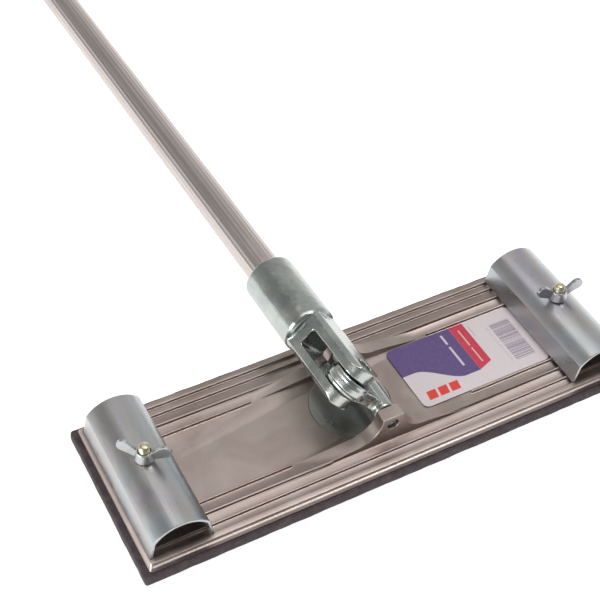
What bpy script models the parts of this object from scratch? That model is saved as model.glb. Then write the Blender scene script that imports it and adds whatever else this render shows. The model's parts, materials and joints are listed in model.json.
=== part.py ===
"""Pole drywall sander: a foam-faced aluminium head, two abrasive clamps, a two-axis swivel and a long pole.

Frame: metres, +Z up. The origin is the centre of the sanding face, X runs along the head and Y towards the
pole's far end. The pole lies back, with its end cap on the surface that the head stands on.
"""

import math

import bmesh
import bpy
from mathutils import Matrix, Vector

MM = 0.001
ASSEMBLY_GAP = 0.3 * MM
OVERCUT = 5.0 * MM
EMBED = 0.6 * MM

# Foam pad
PAD_LENGTH = 241.4 * MM
PAD_WIDTH = 82.0 * MM
PAD_THICKNESS = 5.6 * MM
PAD_CORNER = 1.2 * MM

# Base plate: sloping sides round a floor with a rim, thin ribs along the head, and two lugs for the swivel
PLATE_INSET = 1.3 * MM
PLATE_END_INSET = 2.9 * MM
PLATE_CORNER = 1.5 * MM
PLATE_EDGE_SLOPE = 2.1 * MM
PLATE_END_SLOPE = 1.6 * MM
PLATE_EDGE = 0.5 * MM
FLOOR_THICKNESS = 1.4 * MM
RIB_HEIGHT = 1.4 * MM
RIB_WIDTH = 0.9 * MM
INNER_RIB = 19.1 * MM
RIB_FROM_RIM = 4.1 * MM
RIM_WIDTH = 2.6 * MM
DISH_DEPTH = 0.3 * MM
DISH_CENTRE_X = -6.0 * MM
DISH_INSET = 1.0 * MM

# Swivel lugs
LUG_THICKNESS = 6.3 * MM
LUG_TOP_LENGTH = 10.0 * MM
LUG_HEIGHT = 13.4 * MM
LUG_FOOT = 13.0 * MM
BUTTRESS_REACH = 45.0 * MM
BUTTRESS_HEIGHT = 1.3 * MM
PIN_HEIGHT = 8.75 * MM

# Swivel block, base pin and clevis pin
SWIVEL_LEAN = math.radians(42.0)
BARREL_RADIUS = 5.3 * MM
EYE_RADIUS = 10.0 * MM
EYE_THICKNESS = 7.4 * MM
EYE_ABOVE_BARREL = 1.7 * MM
EYE_OFFSET = -5.5 * MM
EYE_STEP = 0.8 * MM
EYE_BAND = 3.0 * MM
EYE_BAND_SLOPE = 0.55 * MM
EYE_EDGE = 0.6 * MM
EYE_BORE_EXTRA = 0.2 * MM
NECK_INSET = 0.6 * MM
NECK_FLARE = 3.2 * MM
NECK_WAIST = 1.0 * MM
BARREL_EDGE = 0.5 * MM
BASE_PIN_RADIUS = 2.4 * MM
CLEVIS_PIN_RADIUS = 3.0 * MM
PIN_CLEARANCE = 0.3 * MM
PIN_RECESS = 1.4 * MM
PIN_EDGE = 0.35 * MM

# Pole socket: a round ferrule that ends in two ears
SLOT_CLEARANCE = 0.6 * MM
EAR_THICKNESS = 5.8 * MM
EAR_WIDTH = 17.0 * MM
EAR_TIP_REACH = 7.0 * MM
EAR_ROUND_INSET = 0.4 * MM
EAR_EDGE = 1.0 * MM
SLOT_DEPTH = 26.0 * MM
SLOT_ROUNDING = 1.2 * MM
SHOULDER_START = 31.5 * MM
SOCKET_WALL = 3.9 * MM
SOCKET_LENGTH = 40.0 * MM
SOCKET_ROUNDING = 2.6 * MM
MOUTH_ROUNDING = 1.4 * MM
SOCKET_BORE_DEPTH = 34.0 * MM
RIVET_RADIUS = 2.0 * MM
RIVET_HEAD_RADIUS = 3.6 * MM
RIVET_HEAD_HEIGHT = 1.2 * MM
RIVET_FROM_MOUTH = 13.0 * MM
RIVET_GRIP = 1.5 * MM

# Pole
POLE_RADIUS = 8.0 * MM
POLE_WALL = 1.3 * MM
POLE_FLUTES = 24
FLUTE_DEPTH = 0.14 * MM
POLE_LENGTH = 1200.0 * MM
POLE_SIDE_LEAN = math.radians(1.24)
CAP_WALL = 1.1 * MM
CAP_LENGTH = 22.0 * MM
CAP_END = 5.0 * MM
CAP_ROUNDING = 2.0 * MM
PLUG_LENGTH = 26.0 * MM
PLUG_EDGE = 1.0 * MM
CAP_FLOOR_GAP = 0.1 * MM

# Abrasive clamps
CLAMP_FROM_END = 18.7 * MM
CLAMP_OVER_RIM = 0.5 * MM
CLAMP_HALF_WIDTH = 14.0 * MM
CLAMP_HEIGHT = 15.5 * MM
CLAMP_WALL = 1.2 * MM
CREASE_INSET = 2.0 * MM
CREASE_HEIGHT = 9.5 * MM

# Clamp bolts and wing nuts
BOLT_RADIUS = 2.45 * MM
BOLT_SHOWING = 3.3 * MM
BOLT_CLEARANCE = 0.3 * MM
BOLT_HEAD_RADIUS = 6.0 * MM
BOLT_HEAD_HEIGHT = 1.6 * MM
BOLT_HEAD_EDGE = 0.5 * MM
BOLT_DOME = 1.0 * MM
HEAD_POCKET_CLEARANCE = 0.8 * MM
NUT_WALL = 0.75 * MM
NUT_FLARE = 0.8 * MM
NUT_HEIGHT = 4.8 * MM
NUT_EDGE = 0.4 * MM
WING_REACH = 8.6 * MM
WING_RISE = 6.1 * MM
WING_TIP_RADIUS = 2.9 * MM
WING_THICKNESS = 1.7 * MM
WING_FOOT = 0.5 * MM
WING_TURNS = {"left": math.radians(-38.0), "right": math.radians(-7.0)}

# Product label on the plate floor
LABEL_START = 22.0 * MM
LABEL_UNDER_CLAMP = 1.0 * MM
LABEL_MARGIN = 0.65 * MM
LABEL_THICKNESS = 0.2 * MM
LABEL_CORNER = 3.0 * MM

# Worked out from the sizes above
PLATE_HALF = (PAD_LENGTH / 2 - PLATE_END_INSET, PAD_WIDTH / 2 - PLATE_INSET)
PLATE_TOP_HALF = (PLATE_HALF[0] - PLATE_END_SLOPE, PLATE_HALF[1] - PLATE_EDGE_SLOPE)
PLATE_BOTTOM = PAD_THICKNESS + ASSEMBLY_GAP
FLOOR_TOP = PLATE_BOTTOM + FLOOR_THICKNESS
RIB_TOP = FLOOR_TOP + RIB_HEIGHT
RIM_INNER = PLATE_TOP_HALF[1] - RIM_WIDTH
OUTER_RIB = RIM_INNER - RIB_FROM_RIM
RIB_ROWS = (INNER_RIB, (INNER_RIB + OUTER_RIB) / 2, OUTER_RIB)
BASE_PIN_Z = RIB_TOP + PIN_HEIGHT
LUG_INNER = INNER_RIB + RIB_WIDTH / 2 - ASSEMBLY_GAP
LUG_OUTER = LUG_INNER + LUG_THICKNESS
EYE_HEIGHT = BARREL_RADIUS + EYE_ABOVE_BARREL + EYE_RADIUS
SOCKET_RADIUS = POLE_RADIUS + PIN_CLEARANCE + SOCKET_WALL
SLOT_WIDTH = EYE_THICKNESS + 2 * SLOT_CLEARANCE
EAR_SPAN = SLOT_WIDTH + 2 * EAR_THICKNESS
SOCKET_MOUTH = SHOULDER_START + SOCKET_LENGTH
POLE_START = SOCKET_MOUTH - SOCKET_BORE_DEPTH + ASSEMBLY_GAP
POLE_END = POLE_START + POLE_LENGTH
CAP_RADIUS = POLE_RADIUS + ASSEMBLY_GAP + CAP_WALL
CAP_TIP = POLE_END + ASSEMBLY_GAP + CAP_END
CLAMP_CENTRE = PAD_LENGTH / 2 - CLAMP_FROM_END
CLAMP_LENGTH = 2 * (RIM_INNER + CLAMP_OVER_RIM)
CLAMP_FOOT = RIB_TOP + ASSEMBLY_GAP
CLAMP_TOP = RIB_TOP + CLAMP_HEIGHT
CREASE_HALF_WIDTH = CLAMP_HALF_WIDTH - CREASE_INSET
NUT_BOTTOM = CLAMP_TOP + ASSEMBLY_GAP
NUT_TOP_RADIUS = BOLT_RADIUS + BOLT_CLEARANCE + NUT_WALL
NUT_BASE_RADIUS = NUT_TOP_RADIUS + NUT_FLARE
BOLT_TOP = NUT_BOTTOM + NUT_HEIGHT + BOLT_SHOWING
LABEL_END = CLAMP_CENTRE - CLAMP_HALF_WIDTH + LABEL_UNDER_CLAMP
LABEL_WIDTH = 2 * (INNER_RIB - RIB_WIDTH / 2 - LABEL_MARGIN)

MATERIALS = {
    "foam": ((0.069, 0.050, 0.054), 0.9, 0.0),
    "cast_aluminium": ((0.50, 0.46, 0.44), 0.38, 1.0),
    "zinc_sheet": ((0.55, 0.57, 0.58), 0.30, 1.0),
    "zinc_casting": ((0.42, 0.45, 0.44), 0.28, 1.0),
    "pin_steel": ((0.34, 0.34, 0.34), 0.35, 1.0),
    "passivated_steel": ((0.62, 0.55, 0.38), 0.35, 1.0),
    "pole_aluminium": ((0.60, 0.55, 0.53), 0.36, 1.0),
    "black_plastic": ((0.03, 0.03, 0.032), 0.5, 0.0),
    "label_paper": ((0.75, 0.70, 0.73), 0.45, 0.0),
}


def clear_scene():
    for obj in list(bpy.data.objects):
        bpy.data.objects.remove(obj, do_unlink=True)


def make_collection(name):
    collection = bpy.data.collections.new(name)
    bpy.context.scene.collection.children.link(collection)
    return collection


def make_materials():
    """One Principled material for each entry: colour, roughness and metallic value."""
    for name, (colour, roughness, metallic) in MATERIALS.items():
        material = bpy.data.materials.new(name)
        material.use_nodes = True
        shader = material.node_tree.nodes["Principled BSDF"]
        shader.inputs["Base Color"].default_value = (*colour, 1.0)
        shader.inputs["Roughness"].default_value = roughness
        shader.inputs["Metallic"].default_value = metallic


clear_scene()
PARTS = make_collection("pole_drywall_sander")
CUTTERS = make_collection("pole_drywall_sander_cutters")
make_materials()


# ---- modelling helpers -------------------------------------------------------------------------------------


def from_bmesh(name, mesh_data, home):
    """A new object in the collection home, with its faces pointing out."""
    bmesh.ops.recalc_face_normals(mesh_data, faces=mesh_data.faces)
    mesh = bpy.data.meshes.new(name)
    mesh_data.to_mesh(mesh)
    mesh_data.free()
    obj = bpy.data.objects.new(name, mesh)
    home.objects.link(obj)
    return obj


def boxes(name, corner_pairs, home=CUTTERS):
    """One object of separate boxes, each given by its lowest and highest corners."""
    data = bmesh.new()
    for low, high in corner_pairs:
        low, high = Vector(low), Vector(high)
        size = high - low
        place = Matrix.Translation((low + high) / 2) @ Matrix.Diagonal((*size, 1.0))
        bmesh.ops.create_cube(data, size=1.0, matrix=place)
    return from_bmesh(name, data, home)


def turn_to(axis):
    """The rotation that takes +Z to axis."""
    return Vector(axis).to_track_quat("Z", "Y").to_matrix().to_4x4()


def rod(name, start, end, radius, segments=32, home=CUTTERS):
    """A plain cylinder from start to end, with a flat and not an edge on each main direction."""
    start, end = Vector(start), Vector(end)
    along = end - start
    half_step = Matrix.Rotation(math.pi / segments, 4, "Z")
    place = Matrix.Translation((start + end) / 2) @ turn_to(along) @ half_step
    data = bmesh.new()
    size = {"radius1": radius, "radius2": radius, "depth": along.length}
    bmesh.ops.create_cone(data, cap_ends=True, segments=segments, matrix=place, **size)
    return from_bmesh(name, data, home)


def turned(name, profile, axis, centre=(0, 0, 0), steps=48, home=CUTTERS):
    """A solid of revolution. profile lists (radius, height) down the outer side, from pole to pole."""
    data = bmesh.new()
    points = [data.verts.new((radius, 0, height)) for radius, height in profile]
    for first, second in zip(points, points[1:]):
        data.edges.new((first, second))
    mesh = bpy.data.meshes.new(name)
    data.to_mesh(mesh)
    data.free()
    raw = bpy.data.objects.new(name + "_profile", mesh)
    home.objects.link(raw)
    screw = raw.modifiers.new("turn", "SCREW")
    screw.steps = steps
    screw.render_steps = steps
    screw.use_merge_vertices = True
    screw.merge_threshold = 0.00001
    raw.matrix_world = Matrix.Translation(Vector(centre)) @ turn_to(axis)
    return as_mesh(raw, name, home)


def as_mesh(source, name, home):
    """The evaluated shape of source as a plain mesh object in its place; source is removed."""
    bpy.context.view_layer.update()
    evaluated = source.evaluated_get(bpy.context.evaluated_depsgraph_get())
    mesh = bpy.data.meshes.new_from_object(evaluated)
    mesh.name = name
    data = bmesh.new()
    data.from_mesh(mesh)
    bmesh.ops.remove_doubles(data, verts=data.verts, dist=0.000001)
    data.transform(source.matrix_world)
    if data.calc_volume(signed=True) < 0:
        bmesh.ops.reverse_faces(data, faces=data.faces)
    data.to_mesh(mesh)
    data.free()
    obj = bpy.data.objects.new(name, mesh)
    home.objects.link(obj)
    bpy.data.objects.remove(source, do_unlink=True)
    return obj


def plate_of(name, outlines, depth, place, home=CUTTERS):
    """A flat plate about its own XY plane, depth thick. Outlines inside the first one are holes."""
    curve = bpy.data.curves.new(name, "CURVE")
    curve.dimensions = "2D"
    curve.fill_mode = "BOTH"
    curve.extrude = depth / 2
    for outline in outlines:
        spline = curve.splines.new("POLY")
        spline.points.add(len(outline) - 1)
        for point, (x, y) in zip(spline.points, outline):
            point.co = (x, y, 0, 1)
        spline.use_cyclic_u = True
    raw = bpy.data.objects.new(name + "_outline", curve)
    home.objects.link(raw)
    raw.matrix_world = place
    return as_mesh(raw, name, home)


def tapered(name, bottom, bottom_z, top, top_z, home=CUTTERS):
    """A solid between two level outlines with the same number of points."""
    data = bmesh.new()
    low = [data.verts.new((x, y, bottom_z)) for x, y in bottom]
    high = [data.verts.new((x, y, top_z)) for x, y in top]
    data.faces.new(low)
    data.faces.new(high)
    for i in range(len(low)):
        data.faces.new((low[i - 1], low[i], high[i], high[i - 1]))
    return from_bmesh(name, data, home)


def boolean(obj, other, operation):
    """Combines obj with other, which stays as a hidden helper."""
    other.hide_render = True
    other.display_type = "WIRE"
    modifier = obj.modifiers.new(other.name, "BOOLEAN")
    modifier.operation = operation
    modifier.object = other
    return obj


def cut(obj, other):
    return boolean(obj, other, "DIFFERENCE")


def join(obj, other):
    return boolean(obj, other, "UNION")


def keep_inside(obj, other):
    return boolean(obj, other, "INTERSECT")


def bevel(obj, width, segments=2, angle=50.0):
    modifier = obj.modifiers.new("bevel", "BEVEL")
    modifier.width = width
    modifier.segments = segments
    modifier.limit_method = "ANGLE"
    modifier.angle_limit = math.radians(angle)
    return obj


def finish(obj, material, smooth=True):
    """Moves obj to the parts collection with its material and smooth round faces."""
    for collection in list(obj.users_collection):
        collection.objects.unlink(obj)
    PARTS.objects.link(obj)
    obj.data.materials.clear()
    obj.data.materials.append(bpy.data.materials[material])
    if smooth:
        obj.data.shade_smooth()
        obj.data.set_sharp_from_angle(angle=math.radians(35.0))
    return obj


def arc(centre, radius, start, end, steps):
    """Points on a circle from angle start to angle end, both in radians and both included."""
    angles = [start + (end - start) * i / steps for i in range(steps + 1)]
    return [(centre[0] + radius * math.cos(a), centre[1] + radius * math.sin(a)) for a in angles]


def rounded_rectangle(low, high, radius, steps=5):
    """Points round a rectangle whose corners are arcs."""
    quarter = math.pi / 2
    corners = [
        ((high[0] - radius, high[1] - radius), 0),
        ((low[0] + radius, high[1] - radius), 1),
        ((low[0] + radius, low[1] + radius), 2),
        ((high[0] - radius, low[1] + radius), 3),
    ]
    points = []
    for centre, turn in corners:
        points += arc(centre, radius, turn * quarter, (turn + 1) * quarter, steps)
    return points


def flat_at(z):
    return Matrix.Translation((0, 0, z))


def upright(y):
    """Places an outline drawn in (x, z) in the plane at y."""
    return Matrix.Translation((0, y, 0)) @ Matrix.Rotation(math.pi / 2, 4, "X")


# ---- joint frames ------------------------------------------------------------------------------------------


def swivel_frame():
    """Origin on the base pin; local X along the clevis pin, Y along the base pin and Z up the block."""
    return Matrix.Translation((0, 0, BASE_PIN_Z)) @ Matrix.Rotation(-SWIVEL_LEAN, 4, "Y")


def pole_pitch():
    """The turn about the clevis pin that lays the end cap's rim on the surface under the head."""
    pin_z = BASE_PIN_Z + EYE_HEIGHT * math.cos(SWIVEL_LEAN)
    drop = (pin_z - CAP_RADIUS - CAP_FLOOR_GAP) / (CAP_TIP - CAP_ROUNDING)
    sideways = math.sin(POLE_SIDE_LEAN) * math.sin(SWIVEL_LEAN)
    return math.asin((sideways - drop) / math.cos(SWIVEL_LEAN))


def pole_frame():
    """Origin on the clevis pin; local Y along the pole, local X along the clevis pin."""
    eye = Matrix.Translation((0, EYE_OFFSET, EYE_HEIGHT))
    pitch = Matrix.Rotation(pole_pitch(), 4, "X")
    lean = Matrix.Rotation(POLE_SIDE_LEAN, 4, "Z")
    return swivel_frame() @ eye @ pitch @ lean


# ---- head --------------------------------------------------------------------------------------------------


def make_foam_pad():
    half = (PAD_LENGTH / 2, PAD_WIDTH / 2)
    outline = rounded_rectangle((-half[0], -half[1]), half, PAD_CORNER)
    pad = plate_of("foam_pad", [outline], PAD_THICKNESS, flat_at(PAD_THICKNESS / 2))
    pocket_radius = BOLT_HEAD_RADIUS + HEAD_POCKET_CLEARANCE
    pocket_floor = PLATE_BOTTOM - ASSEMBLY_GAP - BOLT_HEAD_HEIGHT - ASSEMBLY_GAP
    for side, x in (("left", -CLAMP_CENTRE), ("right", CLAMP_CENTRE)):
        top = (x, 0, PAD_THICKNESS + OVERCUT)
        cut(pad, rod("pad_pocket_" + side, (x, 0, pocket_floor), top, pocket_radius))
    return finish(pad, "foam")


def channel_boxes():
    """The channels that leave the rim and the ribs standing on the plate."""
    end = PLATE_TOP_HALF[0] - RIM_WIDTH
    walls = list(RIB_ROWS)
    limits = [(-walls[0] + RIB_WIDTH / 2, walls[0] - RIB_WIDTH / 2)]
    outer = walls[1:] + [PLATE_TOP_HALF[1] - RIM_WIDTH + RIB_WIDTH / 2]
    for inside, outside in zip(walls, outer):
        limits.append((inside + RIB_WIDTH / 2, outside - RIB_WIDTH / 2))
        limits.append((-outside + RIB_WIDTH / 2, -inside - RIB_WIDTH / 2))
    return [((-end, low, FLOOR_TOP), (end, high, RIB_TOP + OVERCUT)) for low, high in limits]


def lug_outline():
    """The lug seen along the base pin: a flat top, concave flanks and long low buttresses."""
    top = RIB_TOP + LUG_HEIGHT
    foot = RIB_TOP + BUTTRESS_HEIGHT
    half_top = LUG_TOP_LENGTH / 2
    steps = 8
    right = [
        (
            half_top + LUG_FOOT * (1 - math.cos(math.pi / 2 * i / steps)),
            top - (top - foot) * math.sin(math.pi / 2 * i / steps),
        )
        for i in range(steps + 1)
    ]
    right.append((BUTTRESS_REACH, FLOOR_TOP - EMBED))
    left = [(-x, z) for x, z in reversed(right)]
    return right + left


def make_base_plate():
    bottom = rounded_rectangle((-PLATE_HALF[0], -PLATE_HALF[1]), PLATE_HALF, PLATE_CORNER)
    top = rounded_rectangle((-PLATE_TOP_HALF[0], -PLATE_TOP_HALF[1]), PLATE_TOP_HALF, PLATE_CORNER)
    plate = tapered("base_plate", bottom, PLATE_BOTTOM, top, RIB_TOP)
    bevel(plate, PLATE_EDGE)
    cut(plate, boxes("plate_channels", channel_boxes()))
    row = RIB_ROWS[0]
    reach = BUTTRESS_REACH
    for side, sign in (("near", -1), ("far", 1)):
        low_y = sign * row - RIB_WIDTH / 2 - EMBED
        high_y = sign * row + RIB_WIDTH / 2 + EMBED
        low, high = (-reach, low_y, FLOOR_TOP), (reach, high_y, RIB_TOP + OVERCUT)
        cut(plate, boxes("rib_break_" + side, [(low, high)]))
        middle = sign * (LUG_INNER + LUG_OUTER) / 2
        join(plate, plate_of("lug_" + side, [lug_outline()], LUG_THICKNESS, upright(middle)))
        inner = sign * (LUG_INNER - OVERCUT)
        outer = sign * (LUG_OUTER + OVERCUT)
        hole_radius = BASE_PIN_RADIUS + PIN_CLEARANCE
        cut(plate, rod("lug_hole_" + side, (0, inner, BASE_PIN_Z), (0, outer, BASE_PIN_Z), hole_radius))
    dish_low = (DISH_CENTRE_X, 0, FLOOR_TOP - DISH_DEPTH)
    dish_high = (DISH_CENTRE_X, 0, RIB_TOP + OVERCUT)
    cut(plate, rod("dish", dish_low, dish_high, LUG_INNER - DISH_INSET, 64))
    for side, x in (("left", -CLAMP_CENTRE), ("right", CLAMP_CENTRE)):
        low = (x, 0, PLATE_BOTTOM - OVERCUT)
        high = (x, 0, RIB_TOP + OVERCUT)
        cut(plate, rod("bolt_hole_" + side, low, high, BOLT_RADIUS + BOLT_CLEARANCE, 24))
    return finish(plate, "cast_aluminium", smooth=False)


def make_base_pin():
    reach = LUG_OUTER - PIN_RECESS
    pin = rod("base_pin", (0, -reach, BASE_PIN_Z), (0, reach, BASE_PIN_Z), BASE_PIN_RADIUS)
    bevel(pin, PIN_EDGE)
    return finish(pin, "pin_steel")


def make_label():
    low_z = FLOOR_TOP + ASSEMBLY_GAP
    low, high = (LABEL_START, -LABEL_WIDTH / 2), (LABEL_END, LABEL_WIDTH / 2)
    outline = rounded_rectangle(low, high, LABEL_CORNER)
    label = plate_of("label_sticker", [outline], LABEL_THICKNESS, flat_at(low_z + LABEL_THICKNESS / 2))
    return finish(label, "label_paper", smooth=False)


# ---- clamps ------------------------------------------------------------------------------------------------


def clamp_outline():
    """The bent sheet seen end on: short straight legs, a crease, and one arc over the top."""
    crease_rise = CLAMP_HEIGHT - CREASE_HEIGHT
    radius = (CREASE_HALF_WIDTH**2 + crease_rise**2) / (2 * crease_rise)
    centre = (0, CLAMP_TOP - radius)
    start = math.asin((RIB_TOP + CREASE_HEIGHT - centre[1]) / radius)
    outer = arc(centre, radius, start, math.pi - start, 28)
    inner = arc(centre, radius - CLAMP_WALL, math.pi - start, start, 28)
    foot = CLAMP_FOOT
    inner_foot = CLAMP_HALF_WIDTH - CLAMP_WALL
    legs_out = [(CLAMP_HALF_WIDTH, foot)] + outer + [(-CLAMP_HALF_WIDTH, foot)]
    return legs_out + [(-inner_foot, foot)] + inner + [(inner_foot, foot)]


def make_clamp(side, x):
    place = Matrix.Translation((x, 0, 0)) @ upright(0)
    clamp = plate_of("clamp_" + side, [clamp_outline()], CLAMP_LENGTH, place)
    low = (x, 0, CLAMP_TOP - CLAMP_WALL - OVERCUT)
    high = (x, 0, CLAMP_TOP + OVERCUT)
    cut(clamp, rod("clamp_hole_" + side, low, high, BOLT_RADIUS + BOLT_CLEARANCE, 24))
    return finish(clamp, "zinc_sheet")


def make_bolt(side, x):
    """A carriage bolt: its low head sits between the pad and the plate."""
    quarter = math.pi / 2
    under_plate = PLATE_BOTTOM - ASSEMBLY_GAP
    head_bottom = under_plate - BOLT_HEAD_HEIGHT
    dome = [
        (BOLT_RADIUS * math.sin(quarter * i / 4), BOLT_TOP - BOLT_DOME * (1 - math.cos(quarter * i / 4)))
        for i in range(5)
    ]
    edge = BOLT_HEAD_EDGE
    head = [(BOLT_RADIUS, under_plate), (BOLT_HEAD_RADIUS - edge, under_plate)]
    head += [(BOLT_HEAD_RADIUS, under_plate - edge), (BOLT_HEAD_RADIUS - 2 * edge, head_bottom)]
    profile = dome + head + [(0, head_bottom)]
    bolt = turned("clamp_bolt_" + side, profile, (0, 0, 1), (x, 0, 0), 32)
    return finish(bolt, "passivated_steel")


def wing_outline():
    """One wing in (x, z): from inside the hub out to a round tip, tangent to both sides."""
    tip = (WING_REACH, WING_RISE)
    slope = math.atan2(WING_RISE, WING_REACH)
    lobe = arc(tip, WING_TIP_RADIUS, slope - math.radians(95.0), slope + math.radians(95.0), 12)
    root = NUT_TOP_RADIUS - EMBED
    return [(root, WING_FOOT)] + lobe + [(root, NUT_HEIGHT - NUT_EDGE)]


def make_wing_nut(side, x):
    edge = NUT_EDGE
    hub_profile = [
        (0, NUT_HEIGHT),
        (NUT_TOP_RADIUS - edge, NUT_HEIGHT),
        (NUT_TOP_RADIUS, NUT_HEIGHT - edge),
        (NUT_BASE_RADIUS, edge),
        (NUT_BASE_RADIUS - edge, 0),
        (0, 0),
    ]
    nut = turned("wing_nut_" + side, hub_profile, (0, 0, 1), steps=32)
    half_turn = Matrix.Rotation(math.pi, 4, "Z")
    wing = plate_of("wing_" + side, [wing_outline()], WING_THICKNESS, upright(0))
    other = plate_of("wing_back_" + side, [wing_outline()], WING_THICKNESS, half_turn @ upright(0))
    for blade in (wing, other):
        bevel(blade, NUT_EDGE, 2, 60.0)
        join(nut, blade)
    bore_end = (0, 0, NUT_HEIGHT + OVERCUT)
    bore = rod("nut_bore_" + side, (0, 0, -OVERCUT), bore_end, BOLT_RADIUS + BOLT_CLEARANCE, 24)
    cut(nut, bore)
    place = Matrix.Translation((x, 0, NUT_BOTTOM)) @ Matrix.Rotation(WING_TURNS[side], 4, "Z")
    for piece in (nut, wing, other, bore):
        piece.matrix_world = place
    return finish(nut, "zinc_sheet")


# ---- swivel ------------------------------------------------------------------------------------------------


def eye_profile():
    """The eye's rim: a raised band in the middle and a step down to each face."""
    half = EYE_THICKNESS / 2
    low = EYE_RADIUS - EYE_STEP
    band = EYE_BAND / 2
    upper = [
        (0, half),
        (low - EYE_EDGE, half),
        (low, half - EYE_EDGE),
        (low, band + EYE_BAND_SLOPE),
        (EYE_RADIUS, band),
    ]
    return upper + [(radius, -height) for radius, height in reversed(upper)]


def neck_outline():
    """The web between the barrel and the eye, in (y, z), widening towards the barrel."""
    waist = EYE_RADIUS - EYE_STEP - EMBED
    barrel_shoulder = LUG_INNER - ASSEMBLY_GAP - 2 * BARREL_EDGE
    flare = min(waist + NECK_FLARE, barrel_shoulder + EYE_OFFSET)
    centre = EYE_OFFSET
    low = BARREL_RADIUS * 0.35
    middle = EYE_HEIGHT * 0.45
    return [
        (centre + flare, -low),
        (centre + flare, low),
        (centre + waist - NECK_WAIST, middle),
        (centre + waist, EYE_HEIGHT),
        (centre - waist, EYE_HEIGHT),
        (centre - waist - NECK_WAIST, middle),
        (centre - flare, low),
        (centre - flare, -low),
    ]


def make_swivel_block():
    barrel_end = LUG_INNER - ASSEMBLY_GAP
    block = rod("swivel_block", (0, -barrel_end, 0), (0, barrel_end, 0), BARREL_RADIUS, 40)
    bevel(block, BARREL_EDGE)
    eye_centre = (0, EYE_OFFSET, EYE_HEIGHT)
    eye = turned("eye", eye_profile(), (1, 0, 0), eye_centre, 56)
    neck_place = Matrix(((0, 0, 1, 0), (1, 0, 0, 0), (0, 1, 0, 0), (0, 0, 0, 1)))
    neck = plate_of("neck", [neck_outline()], EYE_THICKNESS - 2 * NECK_INSET, neck_place)
    half = EYE_THICKNESS / 2 + OVERCUT
    hole_radius = CLEVIS_PIN_RADIUS + PIN_CLEARANCE + EYE_BORE_EXTRA
    hole = rod("eye_bore", (-half, EYE_OFFSET, EYE_HEIGHT), (half, EYE_OFFSET, EYE_HEIGHT), hole_radius)
    reach = LUG_OUTER + OVERCUT
    bore = rod("barrel_bore", (0, -reach, 0), (0, reach, 0), BASE_PIN_RADIUS + PIN_CLEARANCE)
    join(block, neck)
    join(block, eye)
    cut(block, hole)
    cut(block, bore)
    for piece in (block, neck, eye, hole, bore):
        piece.matrix_world = swivel_frame()
    return finish(block, "zinc_casting")


# ---- pole --------------------------------------------------------------------------------------------------


def ear_outline():
    """Both ears seen along the clevis pin, in (y, z): a round tip and straight sides into the ferrule."""
    half = EAR_WIDTH / 2
    tip = [(y * EAR_TIP_REACH / half, z) for y, z in arc((0, 0), half, math.pi / 2, 3 * math.pi / 2, 16)]
    end = SHOULDER_START + 2 * SOCKET_ROUNDING
    return tip + [(end, -half), (end, half)]


def make_pole_socket():
    mouth = SOCKET_MOUTH
    start = SHOULDER_START
    quarter = math.pi / 2
    shoulder = [
        (
            SOCKET_RADIUS - SOCKET_ROUNDING * (1 - math.sin(quarter * i / 4)),
            -start - SOCKET_ROUNDING * (1 - math.cos(quarter * i / 4)),
        )
        for i in range(5)
    ]
    rim = [
        (
            SOCKET_RADIUS - MOUTH_ROUNDING * (1 - math.cos(quarter * i / 3)),
            -mouth + MOUTH_ROUNDING * (1 - math.sin(quarter * i / 3)),
        )
        for i in range(4)
    ]
    profile = [(0, -start)] + shoulder + rim + [(0, -mouth)]
    socket = turned("pole_socket", profile, (0, -1, 0), steps=56)
    yz_plane = Matrix(((0, 0, 1, 0), (1, 0, 0, 0), (0, 1, 0, 0), (0, 0, 0, 1)))
    ears = plate_of("ears", [ear_outline()], EAR_SPAN, yz_plane)
    bevel(ears, EAR_EDGE, 2)
    ear_round_radius = SOCKET_RADIUS - EAR_ROUND_INSET
    ear_round = rod("ear_round", (0, -2 * EAR_TIP_REACH, 0), (0, mouth, 0), ear_round_radius, 56)
    keep_inside(ears, ear_round)
    join(socket, ears)
    slot_low = (-SLOT_WIDTH / 2, -EAR_WIDTH, -EAR_WIDTH)
    slot_high = (SLOT_WIDTH / 2, SLOT_DEPTH, EAR_WIDTH)
    slot = bevel(boxes("slot", [(slot_low, slot_high)]), SLOT_ROUNDING, 2)
    reach = EAR_SPAN / 2 + OVERCUT
    pin_hole = rod("ear_holes", (-reach, 0, 0), (reach, 0, 0), CLEVIS_PIN_RADIUS + PIN_CLEARANCE)
    bore_start = mouth - SOCKET_BORE_DEPTH
    bore = rod("socket_bore", (0, bore_start, 0), (0, mouth + OVERCUT, 0), POLE_RADIUS + PIN_CLEARANCE, 48)
    rivet_y = mouth - RIVET_FROM_MOUTH
    rivet_bore = RIVET_RADIUS + PIN_CLEARANCE
    rivet_hole = rod("rivet_hole", (0, rivet_y, 0), (0, rivet_y, -2 * SOCKET_RADIUS), rivet_bore, 20)
    for cutter in (slot, pin_hole, bore, rivet_hole):
        cut(socket, cutter)
    for piece in (socket, ears, ear_round, slot, pin_hole, bore, rivet_hole):
        piece.matrix_world = pole_frame() @ piece.matrix_world
    return finish(socket, "zinc_casting")


def make_clevis_pin():
    reach = EAR_SPAN / 2 - PIN_RECESS
    pin = rod("clevis_pin", (-reach, 0, 0), (reach, 0, 0), CLEVIS_PIN_RADIUS)
    bevel(pin, PIN_EDGE)
    pin.matrix_world = pole_frame()
    return finish(pin, "pin_steel")


def fluted_outline():
    """The pole's outer section: shallow round flutes between narrow lands."""
    per_flute = 4
    count = POLE_FLUTES * per_flute
    outline = []
    for i in range(count):
        angle = 2 * math.pi * i / count
        groove = 0.5 - 0.5 * math.cos(2 * math.pi * (i % per_flute) / per_flute)
        radius = POLE_RADIUS - FLUTE_DEPTH * groove
        outline.append((radius * math.cos(angle), radius * math.sin(angle)))
    return outline


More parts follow.
